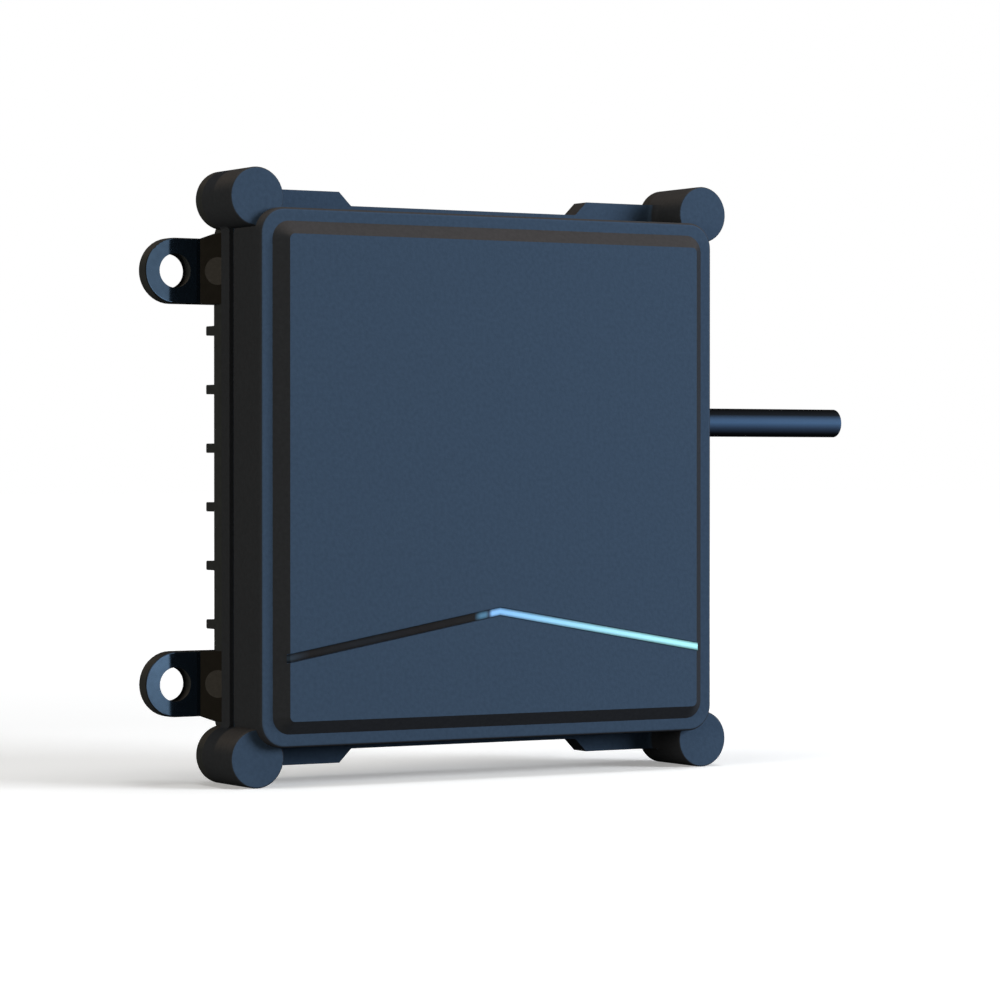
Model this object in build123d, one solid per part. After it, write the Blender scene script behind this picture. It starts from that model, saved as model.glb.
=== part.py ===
from build123d import *
import os
from math import atan, sqrt, tan

# Radar altimeter: a square sealed sensor with a moulded radome cover, a cast rear housing with
# cooling fins and four fixing ears, two stacked boards inside and a short cable.
# Millimetres, +X right, +Y towards the back, +Z up. Depths are counted back from the front
# plane of the cover's rim, and heights from the middle of the face. The last step stands the
# whole on the floor, with the origin under its middle.

# Cover: rim, raised panel, skirt
rim_side = 90.3
rim_corner_r = 4.5
rim_edge_r = 0.6
rim_band = 2.27
panel_corner_r = 0.9
panel_raise = 2.07
panel_bevel = 2.23
cover_wall = 2.0
skirt_wall = 2.4
cover_depth = 12.8
cavity_corner_r = 2.6

# Joint flange; the housing has it only above and below
flange_side = 0.8
flange_top = 1.35
cover_flange = 3.0
housing_flange = 1.5
housing_edge_r = 0.5

# Corner posts and the webs beside them
post_inset = 0.51
post_rise = 1.74
post_r = 4.97
post_setback = 2.07
post_foot = 2.7
post_edge_r = 0.3
post_notch_r = 1.0
post_bite = post_r / 4
web_rise = 2.35
web_end_x = 25.0
web_blend_r = 2.0

# Chevron strip let into the panel
strip_width = 1.3
strip_apex_z = -23.0
strip_drop = 7.05
strip_depth = 0.4
strip_proud = 0.05
strip_play = 0.12

# Rear housing: tub, floor, fins
tub_inset = 0.15
tub_corner_r = 4.5
tub_depth = 4.7
tub_floor = 2.0
fin_pitch = 10.0
fin_count = 8
fin_thickness = 1.6
fin_height = 3.0
fin_tip_r = 0.3

# Fixing ears, their gussets and the pins in their roots
left_ear_reach = 7.3
right_ear_reach = 6.2
ear_spacing_z = 70.0
ear_end_r = 5.57
ear_hole_d = 5.8
ear_root = 7.0
ear_edge_r = 0.3
ear_back_r = 0.6
gusset_reach = 2.6
gusset_flare = 0.9
pin_d = 4.7
pin_length = 2.6
pin_rise = 0.9

# Seal and locating lip
seal_width = 1.2
seal_height = 1.2
seal_land = 0.4
seal_play = 0.05
lip_height = 1.3
lip_thickness = 1.2
lip_play = 0.2

# Corner screws and their inserts
screw_d = 3.0
screw_length = 7.6
screw_head_d = 5.5
screw_head_h = 2.0
screw_play = 0.15
socket_af = 2.5
socket_depth = 1.2
insert_wall = 0.6
insert_length = 5.5
insert_tip_room = 0.5
thread_play = 0.05

# Board stack
board_room = 3.2
board_corner_r = 2.0
antenna_gap = 1.0
antenna_thickness = 1.0
board_gap = 5.8
logic_thickness = 1.6
mount_inset = 5.0
spacer_af = 4.5
stud_d = 2.4
stud_grip = 3.2
stud_tip_room = 0.4
board_hole_play = 0.25
pillar_d = 6.4
board_screw_head_d = 4.4
board_screw_head_h = 1.6
board_screw_dome_r = board_screw_head_h / 3

# Antenna arrays
copper = 0.1
patch = 3.3
patch_pitch = 7.2
patch_rows = 8
feed_width = 0.5
column_pitch = 9.0
transmit_columns = 2
receive_columns = 4
transmit_inset = 13.6
receive_inset = 26.1

# Radio side: shield, chips, absorber
shield_width = 30.0
shield_height = 28.0
shield_depth = 2.4
shield_sheet = 0.25
radio_chip = 9.0
radio_chip_h = 1.0
amplifier_chip = 3.4
amplifier_chip_h = 0.8
amplifier_x = 9.0
amplifier_z = 8.5
absorber_thickness = 0.8
absorber_margin = 1.0

# Logic side: processor, memory, regulators, power parts
processor = 16.0
processor_h = 1.4
thermal_pad_h = 1.0
pedestal_margin = 1.0
memory_width = 9.0
memory_height = 12.0
memory_h = 1.0
memory_gap = 3.0
regulator = 5.0
regulator_h = 1.2
regulator_count = 3
regulator_pitch = 9.0
regulator_z = -20.0
inductor = 7.0
inductor_h = 4.0
inductor_count = 3
inductor_pitch = 10.0
inductor_z = -22.0
inductor_edge_r = 0.8
capacitor_d = 5.0
capacitor_h = 4.6
capacitor_count = 4
capacitor_pitch = 7.5
capacitor_z = 22.0
capacitor_base_h = 0.8
crystal_width = 5.0
crystal_height = 3.2
crystal_h = 1.1
crystal_gap = 2.5
chip_edge = 0.2

# Connector between the boards
link_inset = 16.0
link_width = 5.0
link_length = 20.0
link_tongue = 2.0
link_wall = 1.5
link_base = 1.6
link_gap = 0.2
link_play = 0.1

# Cable, grommet and the connector of its wires
cable_d = 5.1
cable_depth = 7.0
cable_z = 9.8
cable_free = 30.75
jacket_wall = 0.75
core_play = 0.08
grommet_wall = 0.6
grommet_lip = 0.55
grommet_outer = 0.4
grommet_inner = 1.5
grommet_edge = 0.2
exit_boss_wall = 1.1
ferrule_wall = 0.6
ferrule_length = 1.9
ferrule_gap = 0.2
jacket_tail = 1.5
wire_run = 8.5
wire_tail = wire_run / 5
wire_bend_r = 3.0
wire_pitch = 3.0
plug_width = 13.2
plug_height = 3.2
plug_length = 6.4
plug_insert = 4.6
header_wall = 0.8
header_play = 0.1

# Levels in depth
parting = cover_depth
flange_front = parting - cover_flange
flange_back = parting + housing_flange
post_back = parting + post_foot
back = parting + tub_depth
floor_front = back - tub_floor
fin_tip = back + fin_height
antenna_front = cover_wall + antenna_gap
antenna_back = antenna_front + antenna_thickness
logic_front = antenna_back + board_gap
logic_back = logic_front + logic_thickness

# Places across the face
panel = rim_side - 2 * (rim_band + panel_bevel)
cavity = rim_side - 2 * skirt_wall
lip_outer = cavity - 2 * lip_play
tub_cavity = lip_outer - 2 * lip_thickness
board = tub_cavity - 2 * board_room
mount = board / 2 - mount_inset
flange_x = rim_side / 2 + flange_side
flange_z = rim_side / 2 + flange_top
web_z = flange_z + web_rise
post_x = rim_side / 2 - post_inset
post_z = rim_side / 2 + post_rise
tub_x = rim_side / 2 - tub_inset
left_ear_x = tub_x + left_ear_reach
right_ear_x = tub_x + right_ear_reach
ear_z = ear_spacing_z / 2
ear_root_x = tub_x - ear_root
seal_inner = cavity + 2 * seal_land
insert_r = screw_d / 2 + insert_wall
link_x = link_inset - board / 2
transmit_x = transmit_inset - board / 2
receive_x = board / 2 - receive_inset

# Places along the cable
neck_r = cable_d / 2 + grommet_wall
collar_r = neck_r + grommet_lip
exit_boss_r = neck_r + exit_boss_wall
cable_exit_x = flange_x + grommet_outer
cable_end_x = cable_exit_x + cable_free
ferrule_x = cavity / 2 - grommet_inner - ferrule_gap - ferrule_length
cable_inner_x = ferrule_x - jacket_tail
bore_r = cable_d / 2 - jacket_wall
core_ring = (bore_r - core_play) * sqrt(2) / (1 + sqrt(2))
core_r = bore_r - core_play - core_ring - core_play
plug_back_x = cable_inner_x - wire_run
plug_front_x = plug_back_x - plug_length
header_half = plug_height / 2 + header_play + header_wall
wire_y = logic_front - header_half


def face_plane(depth):
    """Plane parallel to the front, facing forwards, at a depth behind the rim."""
    return Plane(origin=(0, depth, 0), x_dir=(1, 0, 0), z_dir=(0, -1, 0))


def slab(outline, front, rear):
    """Straight extrusion of an outline between two depths."""
    return extrude(face_plane(front) * outline, amount=rear - front, dir=(0, 1, 0))


def block(x, z, width, height, front, rear):
    """Rectangular block centred at x, z between two depths."""
    return slab(Pos(x, z) * Rectangle(width, height), front, rear)


def rod(x, z, radius, front, rear):
    """Round bar along the depth."""
    return slab(Pos(x, z) * Circle(radius), front, rear)


def side_rod(radius, x0, x1):
    """Round bar on the cable's axis, from x0 out to x1."""
    side = Plane(origin=(x0, cable_depth, cable_z), x_dir=(0, 1, 0), z_dir=(1, 0, 0))
    return extrude(side * Circle(radius), amount=x1 - x0)


def rounded(size, radius):
    """Square outline with rounded corners."""
    return RectangleRounded(size, size, radius)


def corners(x, z):
    """The four mirrored places of one corner feature."""
    return [(sx * x, sz * z) for sx in (-1, 1) for sz in (-1, 1)]


def row(count, pitch):
    """Evenly spaced places centred on zero."""
    return [(i - (count - 1) / 2) * pitch for i in range(count)]


def edges_at(solid, depth):
    """Edges that lie in the plane at one depth."""
    return solid.edges().filter_by_position(Axis.Y, depth - 1e-3, depth + 1e-3)


def web_outline(sx, sz):
    """Web that stiffens the flange beside one post, with a 45 degree end."""
    foot = web_end_x - web_rise
    return Polygon(
        (sx * foot, sz * flange_z),
        (sx * web_end_x, sz * web_z),
        (sx * post_x, sz * web_z),
        (sx * post_x, sz * flange_z / 2),
        (sx * foot, sz * flange_z / 2),
    )


def joint_outline(side_x):
    """Outline of the joint flange with its webs and corner posts."""
    outline = Rectangle(2 * side_x, 2 * flange_z)
    for sx, sz in corners(1, 1):
        outline += web_outline(sx, sz)
    for x, z in corners(post_x, post_z):
        outline += Pos(x, z) * Circle(post_r)
    notches = outline.vertices().filter_by(lambda v: abs(v.X) > (web_end_x + post_x) / 2)
    return fillet(notches, post_notch_r)


def blend_ring():
    """Ring with a hollow corner round a post, which the webs flow into."""
    square = Pos((post_bite - web_blend_r) / 2 - post_r, flange_front - web_blend_r / 2)
    hollow = Pos(-post_r - web_blend_r, flange_front - web_blend_r) * Circle(web_blend_r)
    profile = square * Rectangle(web_blend_r + post_bite, web_blend_r) - hollow
    return revolve(profile, Axis.Y, 360)


def panel_block(inset=0):
    """Raised square panel with its bevel, or the same form a skin's thickness inside it."""
    shrink = inset * tan(atan(panel_raise / panel_bevel) / 2)
    size = panel - 2 * shrink
    base = size + 2 * panel_bevel
    foot = face_plane(inset) * rounded(base, panel_corner_r + panel_bevel)
    top = face_plane(inset - panel_raise) * rounded(size, panel_corner_r)
    return loft([foot, top])


def chevron_outline(width):
    """Shallow inverted V across the whole panel, its width measured square to each arm."""
    reach = panel / 2 + 2 * panel_bevel
    slope = strip_drop / (panel / 2)
    half = width / 2 * sqrt(1 + slope**2)
    drop = slope * reach
    return Polygon(
        (0, strip_apex_z + half),
        (reach, strip_apex_z - drop + half),
        (reach, strip_apex_z - drop - half),
        (0, strip_apex_z - half),
        (-reach, strip_apex_z - drop - half),
        (-reach, strip_apex_z - drop + half),
    )


def make_front_cover():
    """Moulded radome: skirt, rim, raised panel, posts, webs and joint flange."""
    skirt = slab(rounded(rim_side, rim_corner_r), 0, parting)
    skirt = fillet(edges_at(skirt, 0), rim_edge_r)
    body = skirt + panel_block()
    body += slab(joint_outline(flange_x), flange_front, parting)
    for x, z in corners(post_x, post_z):
        post = rod(x, z, post_r, post_setback, parting)
        body += fillet(edges_at(post, post_setback), post_edge_r)
    for sx, sz in corners(1, 1):
        ring = Pos(sx * post_x, 0, sz * post_z) * blend_ring()
        body += ring & slab(web_outline(sx, sz), flange_front - web_blend_r, flange_front)
    body += side_rod(exit_boss_r, rim_side / 2 - skirt_wall, flange_x)

    # The hollow keeps the wall even behind the rim, the bevel and the panel
    body -= slab(rounded(cavity, cavity_corner_r), cover_wall, parting)
    body -= panel_block(cover_wall)
    for x, z in corners(post_x, post_z):
        body -= rod(x, z, insert_r, parting - insert_length - insert_tip_room, parting)
    body -= side_rod(neck_r, cavity / 2 - skirt_wall, flange_x)
    groove = chevron_outline(strip_width + 2 * strip_play)
    return body - slab(groove, -2 * panel_raise, strip_depth - panel_raise)


def make_accent_strip():
    """Glossy inlay seated on the floor of the chevron groove."""
    arms = slab(chevron_outline(strip_width), -2 * panel_raise, strip_depth - panel_raise)
    return arms & Pos(0, -strip_proud, 0) * panel_block()


def make_cover_seal():
    """Rubber ring squeezed in the housing's groove under the cover's skirt."""
    inner = seal_inner + 2 * seal_play
    outer = seal_inner + 2 * (seal_width - seal_play)
    ring = rounded(outer, cavity_corner_r + seal_width) - rounded(inner, cavity_corner_r)
    return slab(ring, parting, parting + seal_height)


def gusset_plane():
    """Plane of the right upper gusset's slope, facing out, its origin where the pin is."""
    run = gusset_reach
    fall = back - flange_back
    along = Vector(run, fall, 0).normalized()
    start = Vector(tub_x, flange_back, ear_z) + along * pin_rise
    return Plane(origin=start, x_dir=along, z_dir=(fall, -run, 0))


def pin_blank(sx, sz):
    """Pin square to the gusset's slope, cut off at the flange's back."""
    blank = extrude(gusset_plane() * Circle(pin_d / 2), amount=-pin_length)
    blank &= block(tub_x, ear_z, 2 * ear_root, 2 * ear_root, flange_back, fin_tip)
    if sz < 0:
        blank = mirror(blank, Plane.XY)
    if sx < 0:
        blank = mirror(blank, Plane.YZ)
    return blank


def ear(sx, sz):
    """Fixing ear at the back plane, with a sloped gusset that rises to the flange."""
    side = tub_x
    ear_x = left_ear_x if sx < 0 else right_ear_x
    outline = Pos(ear_x, 0) * Circle(ear_end_r)
    outline += Pos((ear_x + ear_root_x) / 2, 0) * Rectangle(ear_x - ear_root_x, 2 * ear_end_r)
    plate = slab(outline, back, fin_tip)
    for depth, radius in ((back, ear_edge_r), (fin_tip, ear_back_r)):
        free_edges = edges_at(plate, depth).filter_by(lambda e: e.center().X > side)
        plate = fillet(free_edges, radius)
    foot = Polygon(
        (ear_root_x, -ear_end_r),
        (side + gusset_reach, -ear_end_r),
        (side + gusset_reach, ear_end_r),
        (side, ear_end_r + gusset_flare),
        (ear_root_x, ear_end_r + gusset_flare),
    )
    slope = Plane.XY * Polygon(
        (ear_root_x, back), (side + gusset_reach, back), (side, flange_back), (ear_root_x, flange_back)
    )
    wedge = extrude(slope, amount=2 * ear_end_r, both=True)
    gusset = wedge & slab(foot, flange_back, back)
    whole = Pos(0, 0, ear_z) * (plate + gusset - rod(ear_x, 0, ear_hole_d / 2, back, fin_tip))
    if sz < 0:
        whole = mirror(whole, Plane.XY)
    if sx < 0:
        whole = mirror(whole, Plane.YZ)
    return whole


def make_rear_housing():
    """One casting: flange, tub, floor, cooling fins, ears, pillars and processor pedestal."""
    flange = slab(joint_outline(tub_x), parting, flange_back)
    body = fillet(edges_at(flange, flange_back), housing_edge_r)
    for x, z in corners(post_x, post_z):
        post = rod(x, z, post_r, parting, post_back)
        body += fillet(edges_at(post, post_back), housing_edge_r)
    body += slab(rounded(2 * tub_x, tub_corner_r), parting, back)
    for z in row(fin_count, fin_pitch):
        fin = block(0, z, 2 * tub_x, fin_thickness, floor_front, fin_tip)
        body += fillet(edges_at(fin, fin_tip).filter_by(Axis.X), fin_tip_r)
    for sx, sz in corners(1, 1):
        body += ear(sx, sz)
    body += slab(rounded(lip_outer, cavity_corner_r), parting - lip_height, parting)

    # The tub's hollow, with the pillars and the pedestal left standing in it
    hollow = slab(rounded(tub_cavity, cavity_corner_r), parting - lip_height, floor_front)
    for x, z in corners(mount, mount):
        hollow -= rod(x, z, pillar_d / 2, logic_back, floor_front)
    seat = processor + 2 * pedestal_margin
    hollow -= block(0, 0, seat, seat, logic_back + processor_h + thermal_pad_h, floor_front)
    body -= hollow

    # Bores and grooves
    groove = rounded(seal_inner + 2 * seal_width, cavity_corner_r + seal_width)
    groove -= rounded(seal_inner, cavity_corner_r)
    body -= slab(groove, parting, parting + seal_height)
    for x, z in corners(post_x, post_z):
        body -= rod(x, z, screw_d / 2 + screw_play, parting, post_back)
    for x, z in corners(mount, mount):
        depth = stud_grip + stud_tip_room
        body -= rod(x, z, stud_d / 2 + thread_play, logic_back, logic_back + depth)
    for sx, sz in corners(1, 1):
        body -= pin_blank(sx, sz)
    return body


def make_ear_pins():
    """Short pins pressed into the gussets, level with their slopes."""
    return [pin_blank(sx, sz) for sx, sz in corners(1, 1)]


def make_inserts():
    """Brass bushes moulded into the cover's posts."""
    bushes = []
    for x, z in corners(post_x, post_z):
        bush = rod(x, z, insert_r, parting - insert_length, parting)
        bushes.append(bush - rod(x, z, screw_d / 2 + thread_play, parting - insert_length, parting))
    return bushes


def make_corner_screws():
    """Socket screws from behind, which clamp the housing to the cover."""
    screws = []
    head_back = post_back + screw_head_h
    for x, z in corners(post_x, post_z):
        screw = rod(x, z, screw_d / 2, post_back - screw_length, post_back)
        screw += rod(x, z, screw_head_d / 2, post_back, head_back)
        key = Pos(x, z) * RegularPolygon(socket_af / 2, 6, major_radius=False)
        screws.append(screw - slab(key, head_back - socket_depth, head_back))
    return screws


def board_blank(front, rear):
    """Bare board with its four fixing holes."""
    blank = slab(rounded(board, board_corner_r), front, rear)
    for x, z in corners(mount, mount):
        blank -= rod(x, z, stud_d / 2 + board_hole_play, front, rear)
    return blank


def antenna_column(x):
    """One column of square patches strung on a feed line."""
    column = Pos(x, 0) * Rectangle(feed_width, (patch_rows - 1) * patch_pitch)
    for z in row(patch_rows, patch_pitch):
        column += Pos(x, z) * Rectangle(patch, patch)
    return slab(column, antenna_front - copper, antenna_front)


def make_columns(centre, count):
    """Array of antenna columns on the antenna board's face."""
    return [antenna_column(centre + x) for x in row(count, column_pitch)]


def chip(x, z, width, height, front, rear, top):
    """Moulded chip whose top edges are broken; top is the depth of its free face."""
    body = block(x, z, width, height, front, rear)
    return chamfer(edges_at(body, top), chip_edge)


def make_amplifiers():
    """Small radio chips round the transceiver."""
    top = antenna_back + amplifier_chip_h
    places = corners(amplifier_x, amplifier_z)
    return [chip(x, z, amplifier_chip, amplifier_chip, antenna_back, top, top) for x, z in places]


def make_shield():
    """Folded lid over the radio chips, open towards the antenna board."""
    top = antenna_back + shield_depth
    can = block(0, 0, shield_width, shield_height, antenna_back, top)
    width = shield_width - 2 * shield_sheet
    height = shield_height - 2 * shield_sheet
    return can - block(0, 0, width, height, antenna_back, top - shield_sheet)


def make_absorber():
    """Soft sheet stuck under the shield's lid."""
    lid = antenna_back + shield_depth - shield_sheet
    margin = 2 * (shield_sheet + absorber_margin)
    return block(0, 0, shield_width - margin, shield_height - margin, lid - absorber_thickness, lid)


def make_link_socket():
    """Slotted connector on the back of the antenna board."""
    mouth = logic_front - link_base - link_gap
    body = block(link_x, 0, link_width, link_length, antenna_back, mouth)
    slot_width = link_tongue + 2 * link_play
    slot_length = link_length - 2 * link_wall
    return body - block(link_x, 0, slot_width, slot_length, antenna_back + link_gap + link_play, mouth)


def make_link_plug():
    """Tongued connector on the logic board, plugged into the socket."""
    body = block(link_x, 0, link_width, link_length, logic_front - link_base, logic_front)
    tongue = link_length - 2 * (link_wall + link_play)
    tip = antenna_back + 2 * (link_gap + link_play)
    return body + block(link_x, 0, link_tongue, tongue, tip, logic_front)


def make_spacers():
    """Hexagonal spacers between the boards, studded at the back and tapped in front."""
    spacers = []
    depth = stud_grip + stud_tip_room
    for x, z in corners(mount, mount):
        hexagon = Pos(x, z) * RegularPolygon(spacer_af / 2, 6, major_radius=False)
        spacer = slab(hexagon, antenna_back, logic_front)
        spacer += rod(x, z, stud_d / 2, logic_front, logic_back + stud_grip)
        spacers.append(spacer - rod(x, z, stud_d / 2 + thread_play, antenna_back, antenna_back + depth))
    return spacers


def make_board_screws():
    """Screws that hold the antenna board on the spacers."""
    screws = []
    head_front = antenna_front - board_screw_head_h
    for x, z in corners(mount, mount):
        screw = rod(x, z, stud_d / 2, antenna_front, antenna_back + stud_grip)
        head = rod(x, z, board_screw_head_d / 2, head_front, antenna_front)
        screws.append(screw + fillet(edges_at(head, head_front), board_screw_dome_r))
    return screws


def make_memory():
    """Memory chips either side of the processor, on the back of the logic board."""
    x = processor / 2 + memory_gap + memory_width / 2
    top = logic_back + memory_h
    return [chip(s * x, 0, memory_width, memory_height, logic_back, top, top) for s in (-1, 1)]


def make_regulators():
    """Voltage regulators below the processor."""
    top = logic_back + regulator_h
    places = row(regulator_count, regulator_pitch)
    return [chip(x, regulator_z, regulator, regulator, logic_back, top, top) for x in places]


def make_crystal():
    """Oscillator can above the processor."""
    z = processor / 2 + crystal_gap + crystal_height / 2
    return block(0, z, crystal_width, crystal_height, logic_back, logic_back + crystal_h)


def make_inductors():
    """Moulded power inductors on the front of the logic board."""
    coils = []
    for x in row(inductor_count, inductor_pitch):
        coil = block(x, inductor_z, inductor, inductor, logic_front - inductor_h, logic_front)
        coils.append(fillet(coil.edges().filter_by(Axis.Y), inductor_edge_r))
    return coils


def make_capacitors():
    """Round cans on square bases, on the front of the logic board."""
    cans = []
    base_front = logic_front - capacitor_base_h
    for x in row(capacitor_count, capacitor_pitch):
        can = rod(x, capacitor_z, capacitor_d / 2, logic_front - capacitor_h, logic_front)
        base = block(x, capacitor_z, capacitor_d, capacitor_d, base_front, logic_front)
        cans.append(can + base)
    return cans


def make_cable_header():
    """Side-entry shroud on the logic board for the cable's wires."""
    x0 = plug_front_x - header_play - header_wall
    x1 = plug_front_x + plug_insert
    width = plug_width + 2 * (header_play + header_wall)
    shroud = block((x0 + x1) / 2, cable_z, x1 - x0, width, wire_y - header_half, logic_front)
    x0 += header_wall
    inner = plug_width + 2 * header_play
    half = plug_height / 2 + header_play
    return shroud - block((x0 + x1) / 2, cable_z, x1 - x0, inner, wire_y - half, wire_y + half)


def make_cable_plug():
    """Crimp housing pushed into the header."""
    x = (plug_front_x + plug_back_x) / 2
    half = plug_height / 2
    return block(x, cable_z, plug_length, plug_width, wire_y - half, wire_y + half)


def make_grommet():
    """Rubber bush that seals the cable in the cover's side."""
    x0 = cavity / 2
    body = side_rod(neck_r, x0, flange_x) + side_rod(collar_r, x0 - grommet_inner, x0)
    collar = side_rod(collar_r, flange_x, cable_exit_x)
    end = collar.edges().filter_by_position(Axis.X, cable_exit_x - 1e-3, cable_exit_x + 1e-3)
    body += chamfer(end, grommet_edge)
    return body - side_rod(cable_d / 2, x0 - grommet_inner, cable_exit_x)


def make_ferrule():
    """Crimped ring that stops the cable from being pulled out."""
    ring = side_rod(cable_d / 2 + ferrule_wall, ferrule_x, ferrule_x + ferrule_length)
    return ring - side_rod(cable_d / 2, ferrule_x, ferrule_x + ferrule_length)


def make_cable_jacket():
    """Sheath of the cable, from inside the cover to its cut end."""
    sheath = side_rod(cable_d / 2, cable_inner_x, cable_end_x)
    return sheath - side_rod(bore_r, cable_inner_x, cable_end_x)


def make_cable_cores():
    """Four insulated wires, straight in the sheath and fanned out to the plug."""
    cores = []
    offset = core_ring / sqrt(2)
    places = [(-offset, -1), (offset, -1), (-offset, 1), (offset, 1)]
    for i, (dy, side) in enumerate(places):
        z = cable_z + side * offset
        fan = cable_z + row(len(places), wire_pitch)[i]
        y = cable_depth + dy
        route = FilletPolyline(
            (cable_end_x, y, z),
            (cable_inner_x - wire_tail, y, z),
            (plug_back_x + wire_tail, wire_y, fan),
            (plug_back_x, wire_y, fan),
            radius=wire_bend_r,
        )
        start = Plane(origin=(cable_end_x, y, z), x_dir=(0, 1, 0), z_dir=(-1, 0, 0))
        cores.append(sweep(start * Circle(core_r), path=route))
    return cores


def make_nodes():
    """Every node by name: one solid, or a list of separate like solids."""
    processor_back = logic_back + processor_h
    radio_back = antenna_back + radio_chip_h
    return {
        "front_cover": make_front_cover(),
        "accent_strip": make_accent_strip(),
        "cover_seal": make_cover_seal(),
        "rear_housing": make_rear_housing(),
        "ear_pins": make_ear_pins(),
        "threaded_inserts": make_inserts(),
        "corner_screws": make_corner_screws(),
        "antenna_board": board_blank(antenna_front, antenna_back),
        "transmit_array": make_columns(transmit_x, transmit_columns),
        "receive_array": make_columns(receive_x, receive_columns),
        "radio_chip": chip(0, 0, radio_chip, radio_chip, antenna_back, radio_back, radio_back),
        "amplifier_chips": make_amplifiers(),
        "radio_shield": make_shield(),
        "absorber_sheet": make_absorber(),
        "link_socket": make_link_socket(),
        "link_plug": make_link_plug(),
        "board_spacers": make_spacers(),
        "board_screws": make_board_screws(),
        "logic_board": board_blank(logic_front, logic_back),
        "processor": chip(0, 0, processor, processor, logic_back, processor_back, processor_back),
        "thermal_pad": block(0, 0, processor, processor, processor_back, processor_back + thermal_pad_h),
        "memory_chips": make_memory(),
        "voltage_regulators": make_regulators(),
        "crystal_oscillator": make_crystal(),
        "power_inductors": make_inductors(),
        "capacitors": make_capacitors(),
        "cable_header": make_cable_header(),
        "cable_plug": make_cable_plug(),
        "cable_grommet": make_grommet(),
        "cable_ferrule": make_ferrule(),
        "cable_jacket": make_cable_jacket(),
        "cable_cores": make_cable_cores(),
    }


# Stand the sensor on its two lower posts, with the origin under the middle
front_y = -(fin_tip - panel_raise - strip_proud) / 2
place = Pos(0, front_y, post_z + post_r)
os.makedirs("parts", exist_ok=True)
for name, shape in make_nodes().items():
    if isinstance(shape, list):
        shape = Compound(children=shape)
    export_step(place * shape, f"parts/{name}.step")
print("rim plane at y", round(front_y, 3), "middle of the face at z", round(post_z + post_r, 3))
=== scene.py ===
# %% [markdown]
# # Dressing a radar altimeter
# The shape is finished before this file starts: a flat square sensor with a moulded
# front cover, a cast rear housing with fins and fixing ears, and a short cable.
# This lesson gives it its looks: a camera, a floor, lamps, the cable's sheath and one
# finish for each kind of material. Lengths are in metres, and Z points up.

# %% Load the finished shapes
import math

import bmesh
import bpy
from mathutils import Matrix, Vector


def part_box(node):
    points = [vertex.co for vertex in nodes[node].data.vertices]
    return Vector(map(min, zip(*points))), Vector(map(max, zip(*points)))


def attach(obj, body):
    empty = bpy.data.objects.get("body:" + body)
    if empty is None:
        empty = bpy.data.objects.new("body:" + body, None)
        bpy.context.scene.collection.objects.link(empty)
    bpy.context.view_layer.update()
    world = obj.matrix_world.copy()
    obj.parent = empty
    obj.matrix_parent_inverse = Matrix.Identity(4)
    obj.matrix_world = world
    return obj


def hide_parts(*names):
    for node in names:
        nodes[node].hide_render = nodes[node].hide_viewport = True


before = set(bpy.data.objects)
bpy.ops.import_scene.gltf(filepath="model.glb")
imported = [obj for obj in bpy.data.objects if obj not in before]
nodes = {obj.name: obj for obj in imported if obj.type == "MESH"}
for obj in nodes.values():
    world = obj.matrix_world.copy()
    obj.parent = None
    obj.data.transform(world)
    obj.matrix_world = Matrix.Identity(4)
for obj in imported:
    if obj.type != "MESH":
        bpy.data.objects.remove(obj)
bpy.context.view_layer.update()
scene = bpy.context.scene

# %% [markdown]
# ## Camera
# The sensor is looked at from its left side, with a long lens, a little above the
# middle of its height. A long lens keeps the square front nearly square. The camera
# could be aimed with a constraint, but a direction that is worked out from two angles
# stays in one place and needs no target object.

# %% Place the camera
turn = math.radians(30.914)
dip = math.radians(-0.5157)
look = Vector((math.sin(turn) * math.cos(dip), math.cos(turn) * math.cos(dip), math.sin(dip)))
camera_data = bpy.data.cameras.new("long_lens")
camera_data.sensor_width = 36
camera_data.lens = 134.78
camera_data.clip_start = 0.01
camera_place = (-0.33049, -0.56313, 0.05377)
camera = bpy.data.objects.new("camera", camera_data)
camera.location = camera_place
camera.rotation_euler = look.to_track_quat("-Z", "Y").to_euler()
scene.collection.objects.link(camera)
scene.camera = camera
print("camera at", camera_place)

# %% [markdown]
# ## The cable's sheath
# A short stub of four-core cable leaves the right side through a rubber bush and ends
# in a square cut. A cable is thought of as a line first: two or three route points for
# a NURBS curve give the line, and the sheath is then a tube that follows it. A curve's
# own bevel would close the end with a flat disc, so the tube is made as a mesh, with a
# wall, a softened lip and the bore in which the coloured cores show.

# %% Route of the cable
cable_d = 0.0051
cable_y = -0.00219
cable_z = 0.06166
exit_x = 0.04635
free_length = 0.03075
end_x = exit_x + free_length
route_points = [
    (exit_x, cable_y, cable_z),
    (exit_x + free_length / 2, cable_y, cable_z),
    (end_x, cable_y, cable_z),
]
route_data = bpy.data.curves.new("cable_route", "CURVE")
route_data.dimensions = "3D"
route_data.resolution_u = 24
spline = route_data.splines.new("NURBS")
spline.points.add(len(route_points) - 1)
for point, place in zip(spline.points, route_points):
    point.co = (*place, 1)
spline.order_u = 3
spline.use_endpoint_u = True
route = bpy.data.objects.new("cable_route", route_data)
scene.collection.objects.link(route)
line_mesh = bpy.data.meshes.new_from_object(route)
line = [v.co.copy() for v in line_mesh.vertices]
bpy.data.objects.remove(route)
print("the route has", len(line), "stations")

# %% [markdown]
# Rings of points stand across the route, and faces join each ring to the next. The
# list of rings goes along the outside, over the lip and back through the bore, so one
# helper makes the whole closed skin.

# %% Tube along the route
sides = 64


def ring(mesh, station, radius):
    """Circle of vertices across the cable, which runs along X."""
    angles = [2 * math.pi * i / sides for i in range(sides)]
    spokes = [Vector((0, radius * math.cos(a), radius * math.sin(a))) for a in angles]
    return [mesh.verts.new(station + spoke) for spoke in spokes]


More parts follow.
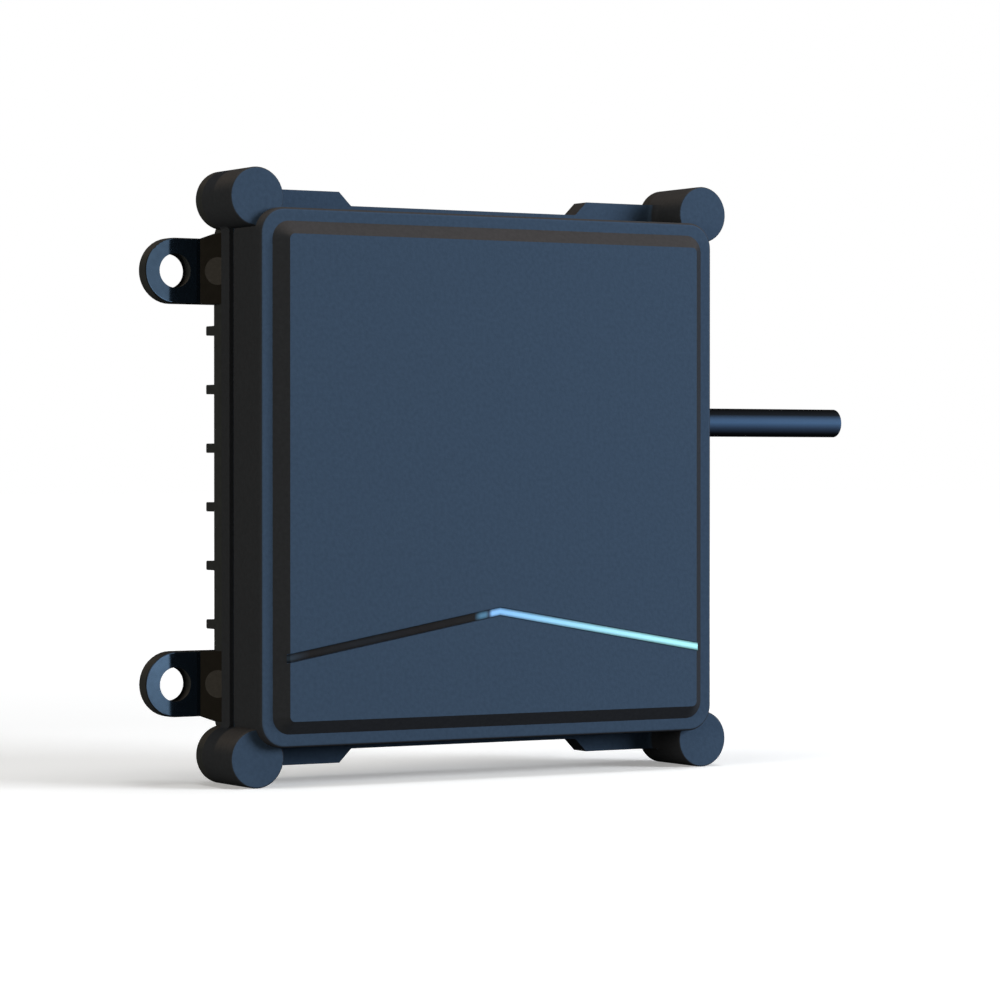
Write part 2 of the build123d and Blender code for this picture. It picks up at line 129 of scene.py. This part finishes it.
def tube(name, outline):
    """Closed skin through circles given as (station, radius), the last joined to the first."""
    mesh = bmesh.new()
    rings = [ring(mesh, station, radius) for station, radius in outline]
    for near, far in zip(rings, rings[1:] + rings[:1]):
        for i in range(sides):
            j = (i + 1) % sides
            mesh.faces.new((near[i], near[j], far[j], far[i]))
    bmesh.ops.recalc_face_normals(mesh, faces=mesh.faces)
    data = bpy.data.meshes.new(name)
    mesh.to_mesh(data)
    data.shade_smooth()
    mesh.free()
    made = bpy.data.objects.new(name, data)
    scene.collection.objects.link(made)
    return made


print("each ring has", sides, "points")

# %% [markdown]
# The free stretch stands for the CAD's sheath. Its cut end has a small softened lip,
# outside and in the bore, and an Edge Split modifier keeps the end face crisp.

# %% Free stretch of the sheath
jacket_wall = 0.00075
lip = 0.00012
lip_share = 0.3
outer = cable_d / 2
bore = outer - jacket_wall
back = Vector((lip, 0, 0))
cut = line[-1]
walk = [(p, outer) for p in line[:-1]]
rim = [
    (cut - back, outer),
    (cut - back * lip_share, outer - lip * lip_share),
    (cut, outer - lip),
]
inside = [(cut, bore + lip), (cut - back, bore), (line[0], bore)]
sheath = tube("cable_sheath", walk + rim + inside)
crisp_angle = math.radians(50)
edge = sheath.modifiers.new("crisp_end", "EDGE_SPLIT")
edge.split_angle = crisp_angle
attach(sheath, "root")
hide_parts("cable_jacket")
print("sheath:", len(sheath.data.polygons), "faces")

# %% [markdown]
# The sheath goes on inside the housing, a little past its ferrule. That stretch is a
# piece of its own, because the free stretch is the cable that the library knows by its
# length.

# %% Sheath inside the housing
tail_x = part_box("cable_jacket")[0].x
tail_start = Vector((tail_x, cable_y, cable_z))
tail_rings = [(tail_start, outer), (line[0], outer), (line[0], bore), (tail_start, bore)]
tail = tube("cable_tail", tail_rings)
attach(tail, "root")
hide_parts("cable_jacket")
print("the sheath starts inside at", round(tail_x, 4))

# %% [markdown]
# ## Node helpers
# Materials are built from nodes, and a few kinds of node come back time and again.
# Small functions make these, so that each finish below reads as a short recipe. The
# first ones join two sockets, and do a sum on outputs of nodes or on plain numbers.

# %% Links and sums


def link(tree, out, into):
    """Joins an output to an input."""
    tree.links.new(out, into)


def feed(tree, given, socket):
    """Gives an input another node's output, or a plain value."""
    if isinstance(given, bpy.types.NodeSocket):
        link(tree, given, socket)
    else:
        socket.default_value = given


def maths(tree, operation, *given, clamp=False):
    """Math node on outputs or values; returns its output."""
    made = tree.nodes.new("ShaderNodeMath")
    made.operation = operation
    made.use_clamp = clamp
    for value, socket in zip(given, made.inputs):
        feed(tree, value, socket)
    return made.outputs[0]


print("sums take outputs or plain numbers")

# %% [markdown]
# The next two bring a value from one range to another, and blend two colours.

# %% Ranges and blends


def mapped(tree, value, start, full, low=0, high=1, soft=False):
    """Brings start to full over to low to high, in a straight line or softly."""
    made = tree.nodes.new("ShaderNodeMapRange")
    if soft:
        made.interpolation_type = "SMOOTHSTEP"
    link(tree, value, made.inputs["Value"])
    ends = {"From Min": start, "From Max": full, "To Min": low, "To Max": high}
    for name, given in ends.items():
        feed(tree, given, made.inputs[name])
    return made.outputs["Result"]


def blended(tree, mask, below, above):
    """Colour that goes from below to above with a mask."""
    made = tree.nodes.new("ShaderNodeMix")
    made.data_type = "RGBA"
    for name, given in {"Factor": mask, "A": below, "B": above}.items():
        feed(tree, given, made.inputs[name])
    return made.outputs["Result"]


print("ranges run straight or softly")


# %% [markdown]
# ## Floor and surroundings
# What stands round the sensor shows up in three ways: to the camera, in gloss, and as
# light thrown back on matt surfaces. The Light Path node tells these apart, so that a
# table can look white and still throw little light on the undersides.

# %% Helpers for the studio


def seen(tree):
    """1 for rays that come from the camera, a reflection or a clear body, else 0."""
    path = tree.nodes.new("ShaderNodeLightPath").outputs
    looked_at = maths(tree, "ADD", path["Is Camera Ray"], path["Is Glossy Ray"])
    return maths(tree, "ADD", looked_at, path["Is Transmission Ray"], clamp=True)


def bare_material(name):
    """Material whose node tree is still empty."""
    made = bpy.data.materials.new(name)
    made.use_nodes = True
    made.node_tree.nodes.clear()
    return made


def stage_sheet(name, corners, look):
    """Flat piece of the studio, with its material."""
    data = bpy.data.meshes.new(name)
    data.from_pydata(corners, [], [(0, 1, 2, 3)])
    data.materials.append(look)
    made = bpy.data.objects.new(name, data)
    scene.collection.objects.link(made)
    return made


# %% [markdown]
# The sensor stands on its two lower corner posts on a white table. The table is a matt
# white that takes the sensor's shadow. To the camera, and in gloss, it gets a little
# light of its own that grows with the distance from the sensor, so that its far edge
# is as white as the air behind it.

# %% White table
table_paint = bare_material("table_white")
tree = table_paint.node_tree
look_at = seen(tree)
matt = tree.nodes.new("ShaderNodeBsdfDiffuse")
low_grey, table_white = (0.15, 0.15, 0.15, 1), (0.9, 0.9, 0.9, 1)
link(tree, blended(tree, look_at, low_grey, table_white), matt.inputs["Color"])
spot = tree.nodes.new("ShaderNodeNewGeometry")
away = tree.nodes.new("ShaderNodeVectorMath")
away.operation = "LENGTH"
link(tree, spot.outputs["Position"], away.inputs[0])
near, far, near_light = 0.15, 0.8, 0.29
rise = mapped(tree, away.outputs["Value"], near, far, low=near_light, high=1)
own_light = tree.nodes.new("ShaderNodeEmission")
link(tree, maths(tree, "MULTIPLY", look_at, rise), own_light.inputs["Strength"])
both = tree.nodes.new("ShaderNodeAddShader")
link(tree, matt.outputs[0], both.inputs[0])
link(tree, own_light.outputs[0], both.inputs[1])
surface = tree.nodes.new("ShaderNodeOutputMaterial")
link(tree, both.outputs[0], surface.inputs["Surface"])
reach = 6
table_corners = [(-reach, -reach, 0), (reach, -reach, 0), (reach, reach, 0), (-reach, reach, 0)]
stage_sheet("table", table_corners, table_paint)
print("table", 2 * reach, "m wide")

# %% [markdown]
# The world is white where it is looked at or mirrored, and nearly dark as a light, so
# that the lamps alone shape the sensor.

# %% World
world = bpy.data.worlds.new("studio_air")
world.use_nodes = True
scene.world = world
tree = world.node_tree
tree.nodes.clear()
even = tree.nodes.new("ShaderNodeBackground")
even.inputs["Strength"].default_value = 0.02
white = tree.nodes.new("ShaderNodeBackground")
white.inputs["Color"].default_value = (1, 1, 1, 1)
white.inputs["Strength"].default_value = 1
pick = tree.nodes.new("ShaderNodeMixShader")
link(tree, seen(tree), pick.inputs["Fac"])
link(tree, even.outputs[0], pick.inputs[1])
link(tree, white.outputs[0], pick.inputs[2])
sky = tree.nodes.new("ShaderNodeOutputWorld")
link(tree, pick.outputs[0], sky.inputs["Surface"])
scene.view_settings.view_transform = "Standard"
print("even light", even.inputs["Strength"].default_value)

# %% [markdown]
# ## Lamps
# A broad, slightly cool lamp stands in front on the right and lights the whole face.
# One above lights the table and the upper edges, and a weak, warmer one low on the left
# lifts the left walls. Broad lamps give the soft shadow on the table. Their power is
# chosen so that a colour on the front face comes out about as it is written.

# %% Place the lamps


def soft_lamp(name, place, aim, size, power, colour):
    """Square lamp that faces a point."""
    data = bpy.data.lights.new(name, "AREA")
    data.size = size
    data.energy = power
    data.color = colour
    lamp = bpy.data.objects.new(name, data)
    lamp.location = place
    lamp.rotation_euler = (Vector(aim) - Vector(place)).to_track_quat("-Z", "Y").to_euler()
    scene.collection.objects.link(lamp)
    return lamp


middle = (0, 0, 0.05)
cool = soft_lamp("cool_lamp", (0.72, -0.7, 0.3), middle, 0.5, 12.8, (0.96, 1, 1.05))
top = soft_lamp("top_lamp", (0.05, -0.1, 0.95), middle, 0.5, 4.6, (1, 1, 1))
warm = soft_lamp("warm_lamp", (-0.92, -0.2, 0.14), middle, 0.3, 5.5, (1, 0.93, 0.78))
for lamp in (cool, top, warm):
    print(lamp.name, lamp.data.energy, "W")

# %% [markdown]
# A shiny lacquer shows what stands around it, and white air on every side would wash
# it out. A dim card beside the left wall, seen in gloss alone, gives it something dark
# and warm to mirror.

# %% Card for the gloss
card_look = bare_material("gloss_card")
tree = card_look.node_tree
dim = tree.nodes.new("ShaderNodeEmission")
dim.inputs["Color"].default_value = (0.2, 0.18, 0.16, 1)
surface = tree.nodes.new("ShaderNodeOutputMaterial")
link(tree, dim.outputs[0], surface.inputs["Surface"])
card_x, card_front, card_rear, card_top = -0.16, -0.25, 0.6, 0.3
card_corners = [
    (card_x, card_front, 0),
    (card_x, card_rear, 0),
    (card_x, card_rear, card_top),
    (card_x, card_front, card_top),
]
card = stage_sheet("gloss_card", card_corners, card_look)
card.visible_camera = False
card.visible_diffuse = False
card.visible_shadow = False
print("card at x", card_x)

# %% [markdown]
# ## Shared effects
# Three effects are used by several finishes, so each is a node group that is built
# once and placed in each material with its own values. A group needs named sockets,
# and two of the three start from noise, so helpers make both.

# %% Helpers for groups


def new_group(name, inputs, outputs):
    """Empty group with its sockets; returns it, its entry's outputs and its exit's inputs."""
    made = bpy.data.node_groups.new(name, "ShaderNodeTree")
    kinds = {"value": "NodeSocketFloat", "colour": "NodeSocketColor"}
    for in_out, sockets in (("INPUT", inputs), ("OUTPUT", outputs)):
        for title, kind in sockets:
            made.interface.new_socket(title, in_out=in_out, socket_type=kinds[kind])
    entry = made.nodes.new("NodeGroupInput")
    leave = made.nodes.new("NodeGroupOutput")
    return made, entry.outputs, leave.inputs


def noise_of(tree, size, detail):
    """Noise over the piece, whose spots are about as large as size, in metres."""
    place = tree.nodes.new("ShaderNodeTexCoord")
    made = tree.nodes.new("ShaderNodeTexNoise")
    made.inputs["Detail"].default_value = detail
    link(tree, place.outputs["Object"], made.inputs["Vector"])
    link(tree, maths(tree, "DIVIDE", 1, size), made.inputs["Scale"])
    return made.outputs["Fac"]


least, most = 0.3, 0.7
print("noise mostly lies between", least, "and", most)

# %% [markdown]
# The first effect is a fine grain, such as spark erosion leaves in a moulding tool or
# sand leaves in a casting. It gives a height for a Bump node, and a colour with a
# speckle in it.

# %% Group: fine grain


def scaled(tree, colour, share):
    """Colour made lighter or darker by a varying share."""
    made = tree.nodes.new("ShaderNodeVectorMath")
    made.operation = "SCALE"
    link(tree, colour, made.inputs[0])
    link(tree, share, made.inputs["Scale"])
    return made.outputs["Vector"]


grain, entry, leave = new_group(
    "fine_grain",
    inputs=[("Grain size", "value"), ("Colour", "colour"), ("Speckle", "value")],
    outputs=[("Height", "value"), ("Colour", "colour")],
)
noise = noise_of(grain, entry["Grain size"], detail=2)
link(grain, noise, leave["Height"])
spread = mapped(grain, noise, least, most, low=-1, high=1)
share = maths(grain, "MULTIPLY_ADD", spread, entry["Speckle"], 1)
link(grain, scaled(grain, entry["Colour"], share), leave["Colour"])
print("group", grain.name, "with", len(grain.nodes), "nodes")

# %% [markdown]
# The second effect is slow, cloudy variation between two values.

# %% Group: cloudy variation
cloud, entry, leave = new_group(
    "slow_clouds",
    inputs=[("Cloud size", "value"), ("Low", "value"), ("High", "value")],
    outputs=[("Value", "value")],
)
noise = noise_of(cloud, entry["Cloud size"], detail=3)
link(cloud, mapped(cloud, noise, least, most, entry["Low"], entry["High"]), leave["Value"])
print("group", cloud.name, "with", len(cloud.nodes), "nodes")

# %% [markdown]
# The third gives a colour by the way that a surface faces, in the sensor's own axes. It
# stands for the light in the photo: slate blue on all that faces forwards or backwards,
# charcoal on the walls, and a little warmer and paler on what faces up. Bevels and
# other slopes have a tone of their own. Under other light the tones stay as they are.
# The group also gives out how squarely a place faces front or back, which a finish can
# use for its gloss.

# %% Group: tones by facing


def axes_of(tree, kind):
    """X, Y and Z of the place ("Object") or of the way it faces ("Normal")."""
    place = tree.nodes.new("ShaderNodeTexCoord")
    axes = tree.nodes.new("ShaderNodeSeparateXYZ")
    link(tree, place.outputs[kind], axes.inputs[0])
    return axes.outputs


facing, entry, leave = new_group(
    "tones_by_facing",
    inputs=[("Front", "colour"), ("Sloped", "colour"), ("Side", "colour"), ("Top", "colour")],
    outputs=[("Colour", "colour"), ("Squarely", "value")],
)
axes = axes_of(facing, "Normal")
squarely = maths(facing, "ABSOLUTE", axes["Y"])
slope_starts, slope_full = 0.3, 0.6
up_starts, up_full = 0.1, 0.65
square_starts, square_full = 0.82, 0.96
is_sloped = mapped(facing, squarely, slope_starts, slope_full, soft=True)
is_up = mapped(facing, axes["Z"], up_starts, up_full, soft=True)
is_square = mapped(facing, squarely, square_starts, square_full, soft=True)
around = blended(facing, is_sloped, entry["Side"], entry["Sloped"])
around = blended(facing, is_up, around, entry["Top"])
link(facing, blended(facing, is_square, around, entry["Front"]), leave["Colour"])
link(facing, is_square, leave["Squarely"])
print("group", facing.name, "with", len(facing.nodes), "nodes")

# %% [markdown]
# ## Finishes
# Every finish is a Principled shader with its own colour, gloss and relief. A helper
# sets up what they share: colour through the grain group, roughness through the cloud
# group, and a Bump node in metres of real height. What is special to one finish, such
# as the painted reflection of the accent line, is added to that finish alone.

# %% Helper for a finish


def placed(tree, group, **values):
    """A group in a material, with its inputs set by name, an underscore for each space."""
    made = tree.nodes.new("ShaderNodeGroup")
    made.node_tree = group
    for title, value in values.items():
        made.inputs[title.replace("_", " ")].default_value = value
    return made


def finish(name, rough, grain_size, height, colour=None, speckle=0.08, metal=0, gloss=0.5):
    """Grained material. rough is its lowest and highest roughness, and a colour that
    varies over the piece comes later, with recolour."""
    made = bpy.data.materials.new(name)
    made.use_nodes = True
    tree = made.node_tree
    shader = tree.nodes["Principled BSDF"]
    shader.inputs["Metallic"].default_value = metal
    shader.inputs["Specular IOR Level"].default_value = gloss
    speck = placed(tree, grain, Grain_size=grain_size, Speckle=speckle)
    speck.name = "grain"
    if colour:
        speck.inputs["Colour"].default_value = colour
    link(tree, speck.outputs["Colour"], shader.inputs["Base Color"])
    bump = tree.nodes.new("ShaderNodeBump")
    bump.inputs["Distance"].default_value = height
    bump.inputs["Strength"].default_value = 1
    link(tree, speck.outputs["Height"], bump.inputs["Height"])
    link(tree, bump.outputs["Normal"], shader.inputs["Normal"])
    low, high = rough
    slow = placed(tree, cloud, Cloud_size=cloud_size, Low=low, High=high)
    link(tree, slow.outputs["Value"], shader.inputs["Roughness"])
    return made


def recolour(made, colour):
    """Gives a finish a colour that varies over the piece."""
    tree = made.node_tree
    link(tree, colour, tree.nodes["grain"].inputs["Colour"])


def dress(material, *names):
    """Puts a finish on shapes by their names."""
    for name in names:
        data = nodes[name].data
        data.materials.clear()
        data.materials.append(material)
    print(material.name, "on", ", ".join(names))


cloud_size = 0.03
print("clouds are about", cloud_size, "m wide")

# %% [markdown]
# Colours are easiest to pick on a screen, as red, green and blue up to 255. Shaders
# count in linear light, where half as bright to the eye is about a fifth, so a helper
# turns one into the other.

# %% Colours from a screen


def paint(red, green, blue):
    """Colour picked on a screen, 0 to 255, as the linear values that the shaders use."""
    parts = [c / 255 for c in (red, green, blue)]
    linear = [c / 12.92 if c <= 0.04045 else ((c + 0.055) / 1.055) ** 2.4 for c in parts]
    return [*linear, 1]


print("mid grey is", round(paint(128, 128, 128)[0], 3), "in linear light")

# %% [markdown]
# The front cover lets the radar through, so it is moulded in plastic, with the even,
# fine grain of a spark-eroded tool and no gloss. Its colours by facing are painted
# light and shade. The narrow step of the flange beside the skirt lies in shade, so it
# takes the charcoal of the walls as painted shade, and its place is masked by X and by
# depth. The mask also reaches the outer sides of the posts, which show a darker patch
# of painted shade.

# %% Moulded cover
# painted shade: the charcoal that the walls show in shade
painted_wall_shade = paint(42, 44, 48)
cover_plastic = finish("moulded_slate", (0.5, 0.6), 0.0007, 0.00004, speckle=0.06, gloss=0)
tree = cover_plastic.node_tree
# painted light and shade: one colour for each way the surface faces
tones = placed(
    tree,
    facing,
    Front=paint(57, 73, 92),
    Sloped=paint(46, 48, 52),
    Side=painted_wall_shade,
    Top=paint(60, 58, 58),
)
axes = axes_of(tree, "Object")
across = maths(tree, "ABSOLUTE", axes["X"])
skirt_x = (0.0450, 0.0453)
rim_y = (-0.001, 0)
# painted shade on the narrow step of the flange beside the skirt
beside = mapped(tree, across, *skirt_x, soft=True)
behind = mapped(tree, axes["Y"], *rim_y, soft=True)
painted_step_shade = maths(tree, "MULTIPLY", beside, behind)
recolour(cover_plastic, blended(tree, painted_step_shade, tones.outputs["Colour"], painted_wall_shade))
dress(cover_plastic, "front_cover")

# %% [markdown]
# The rear housing and its ears are cast aluminium with a smooth, dark lacquer in the
# same tones, which are painted light and shade by facing, darkest on the slopes. What
# faces front or back is polished enough to mirror its surroundings, which shows the
# ears apart from the matt cover, and the walls are dull. The pins beside the ears are
# dull too.

# %% Lacquered casting
cast_lacquer = finish("cast_slate_lacquer", (0.05, 0.08), 0.0012, 0.000001, gloss=0)
tree = cast_lacquer.node_tree
# painted light and shade: one colour for each way the surface faces, darkest on slopes
tones = placed(
    tree,
    facing,
    Front=paint(68, 88, 109),
    Sloped=paint(30, 28, 25),
    Side=paint(44, 46, 47),
    Top=paint(57, 55, 53),
)
recolour(cast_lacquer, tones.outputs["Colour"])
polish = 0.9
mirror = maths(tree, "MULTIPLY", tones.outputs["Squarely"], polish)
link(tree, mirror, tree.nodes["Principled BSDF"].inputs["Metallic"])
dress(cast_lacquer, "rear_housing")
pin_steel = finish("pin_lacquer", (0.5, 0.6), 0.0006, 0.000004, paint(55, 53, 51), gloss=0)
dress(pin_steel, "ear_pins")

# %% [markdown]
# A glossy line lies in a groove of the cover, in the shape of a flat chevron. Its
# colour is a painted reflection: its left half is dark, its right half pale blue and
# lighter to its end. A colour ramp along X gives both, and the change between them is
# sharp. The line is flat but looks rounded over, so painted shade darkens its colour
# towards both edges: the distance from its middle is worked out from X and Z, with the
# slope read from the size of the piece itself.

# %% Line with a painted reflection


def coloured_along(tree, value, first, last, stops):
    """Colour ramp on a value from 0 to 1, with stops between its two ends."""
    made = tree.nodes.new("ShaderNodeValToRGB")
    ramp = made.color_ramp
    ramp.elements[0].color = first
    ramp.elements[1].color = last
    for spot, shade in stops:
        ramp.elements.new(spot).color = shade
    link(tree, value, made.inputs["Fac"])
    return made.outputs["Color"]


half_panel = 0.041
painted_reflection_film = finish("painted_reflection_strip", (0.08, 0.12), 0.002, 0.000001, speckle=0, gloss=0.06)
tree = painted_reflection_film.node_tree
axes = axes_of(tree, "Object")
# painted reflection: dark on the left half, pale blue on the right half
tones = coloured_along(
    tree,
    mapped(tree, axes["X"], -half_panel, half_panel),
    first=paint(42, 53, 65),
    last=paint(178, 250, 255),
    stops=[
        (0.05, paint(24, 23, 24)),
        (0.2, paint(20, 24, 30)),
        (0.3, paint(18, 16, 18)),
        (0.438, paint(20, 19, 20)),
        (0.452, paint(77, 120, 149)),
        (0.467, paint(77, 120, 149)),
        (0.47, paint(54, 70, 90)),
        (0.475, paint(54, 70, 90)),
        (0.478, paint(137, 192, 250)),
        (0.75, paint(165, 230, 250)),
    ],
)
strip_low, strip_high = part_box("accent_strip")
half_width = 0.0007
apex_z = strip_high.z - half_width
slope = (apex_z - half_width - strip_low.z) / strip_high.x
from_middle = maths(tree, "ABSOLUTE", axes["X"])
line_z = maths(tree, "MULTIPLY_ADD", from_middle, -slope, apex_z)
off_line = maths(tree, "ABSOLUTE", maths(tree, "SUBTRACT", axes["Z"], line_z))
flat, turned_down = 0.1 * half_width, 1.2 * half_width
crown_light, edge_light = 1.1, 0.1
# painted shade, darker towards both edges of the flat line
painted_edge_shade = mapped(tree, off_line, flat, turned_down, crown_light, edge_light, soft=True)
recolour(painted_reflection_film, scaled(tree, tones, painted_edge_shade))
dress(painted_reflection_film, "accent_strip")
print("the line falls", round(slope, 3), "m for each metre across")

# %% [markdown]
# The cable's sheath is smooth dark plastic. In the photo's light it has a pale band
# along the middle of its height and dark upper and lower edges. A colour ramp over its
# height stands for them.

# %% Cable
sheath_plastic = finish("sheath_dark", (0.35, 0.45), 0.0008, 0.000002, speckle=0, gloss=0)
tree = sheath_plastic.node_tree
height = mapped(tree, axes_of(tree, "Object")["Z"], cable_z - outer, cable_z + outer)
band = coloured_along(
    tree,
    height,
    first=paint(12, 13, 16),
    last=paint(10, 9, 8),
    stops=[
        (0.12, paint(20, 23, 27)),
        (0.3, paint(46, 60, 80)),
        (0.5, paint(68, 94, 125)),
        (0.6, paint(64, 87, 115)),
        (0.78, paint(26, 29, 33)),
    ],
)
recolour(sheath_plastic, band)
sheath.data.materials.append(sheath_plastic)
tail.data.materials.append(sheath_plastic)
print(sheath_plastic.name, "on", sheath.name, "and", tail.name)

# %% [markdown]
# The four cores have a colour each, as the wires of such a cable do. One mask splits
# them by depth and one by height.

# %% Cores, bush and seal
core_plastic = finish("core_insulation", (0.35, 0.45), 0.0006, 0.000003)
tree = core_plastic.node_tree
axes = axes_of(tree, "Object")
blur = 0.0001
rear = mapped(tree, axes["Y"], cable_y - blur, cable_y + blur, soft=True)
upper = mapped(tree, axes["Z"], cable_z - blur, cable_z + blur, soft=True)
lower_pair = blended(tree, rear, paint(150, 34, 30), paint(26, 26, 28))
upper_pair = blended(tree, rear, paint(222, 220, 210), paint(196, 150, 40))
recolour(core_plastic, blended(tree, upper, lower_pair, upper_pair))
dress(core_plastic, "cable_cores")
seal_rubber = finish("seal_rubber", (0.6, 0.75), 0.0004, 0.00001, paint(26, 27, 28), gloss=0.2)
dress(seal_rubber, "cover_seal", "cable_grommet")

# %% [markdown]
# The screws, bushes and shields are bare metal. Turned and pressed metal has a fine
# grain and an uneven gloss, so the same helper serves with the metal value at 1.

# %% Bare metals
screw_steel = finish("screw_steel", (0.2, 0.35), 0.0003, 0.000003, paint(165, 166, 168), metal=1)
dress(screw_steel, "corner_screws", "board_screws", "board_spacers")
insert_brass = finish("insert_brass", (0.2, 0.35), 0.0004, 0.000004, paint(196, 160, 92), metal=1)
dress(insert_brass, "threaded_inserts")
tinned = finish("tinned_sheet", (0.25, 0.4), 0.0006, 0.000002, paint(190, 192, 190), metal=1)
dress(tinned, "radio_shield", "crystal_oscillator", "cable_ferrule")
can_metal = finish("capacitor_can", (0.15, 0.25), 0.0005, 0.000002, paint(205, 206, 208), metal=1)
dress(can_metal, "capacitors")
gilt = finish("gilt_copper", (0.18, 0.3), 0.0004, 0.000002, paint(222, 176, 98), metal=1)
dress(gilt, "transmit_array", "receive_array")

# %% [markdown]
# Inside are two boards in green laminate. The chips are grey-black resin, the shield's
# lining is soft absorber foam, and a grey gap pad leads the processor's heat to the
# housing.

# %% Boards and what they carry
laminate = finish("board_laminate", (0.3, 0.45), 0.0009, 0.000005, paint(28, 74, 48), speckle=0.15)
dress(laminate, "antenna_board", "logic_board")
resin = finish("chip_resin", (0.45, 0.6), 0.0002, 0.000006, paint(34, 35, 37))
dress(resin, "radio_chip", "amplifier_chips", "processor", "memory_chips", "voltage_regulators")
foam_grey = paint(40, 41, 43)
foam = finish("absorber_foam", (0.85, 0.95), 0.0006, 0.00012, foam_grey, speckle=0.3, gloss=0.1)
dress(foam, "absorber_sheet")
ivory = finish("connector_plastic", (0.4, 0.5), 0.0005, 0.000005, paint(214, 208, 190))
dress(ivory, "link_socket", "link_plug", "cable_header", "cable_plug")
pad_grey = paint(128, 136, 146)
pad = finish("gap_pad", (0.7, 0.85), 0.0003, 0.00002, pad_grey, speckle=0.15, gloss=0.2)
dress(pad, "thermal_pad")
ferrite = finish("ferrite", (0.4, 0.55), 0.0003, 0.000008, paint(52, 52, 54), speckle=0.15)
dress(ferrite, "power_inductors")
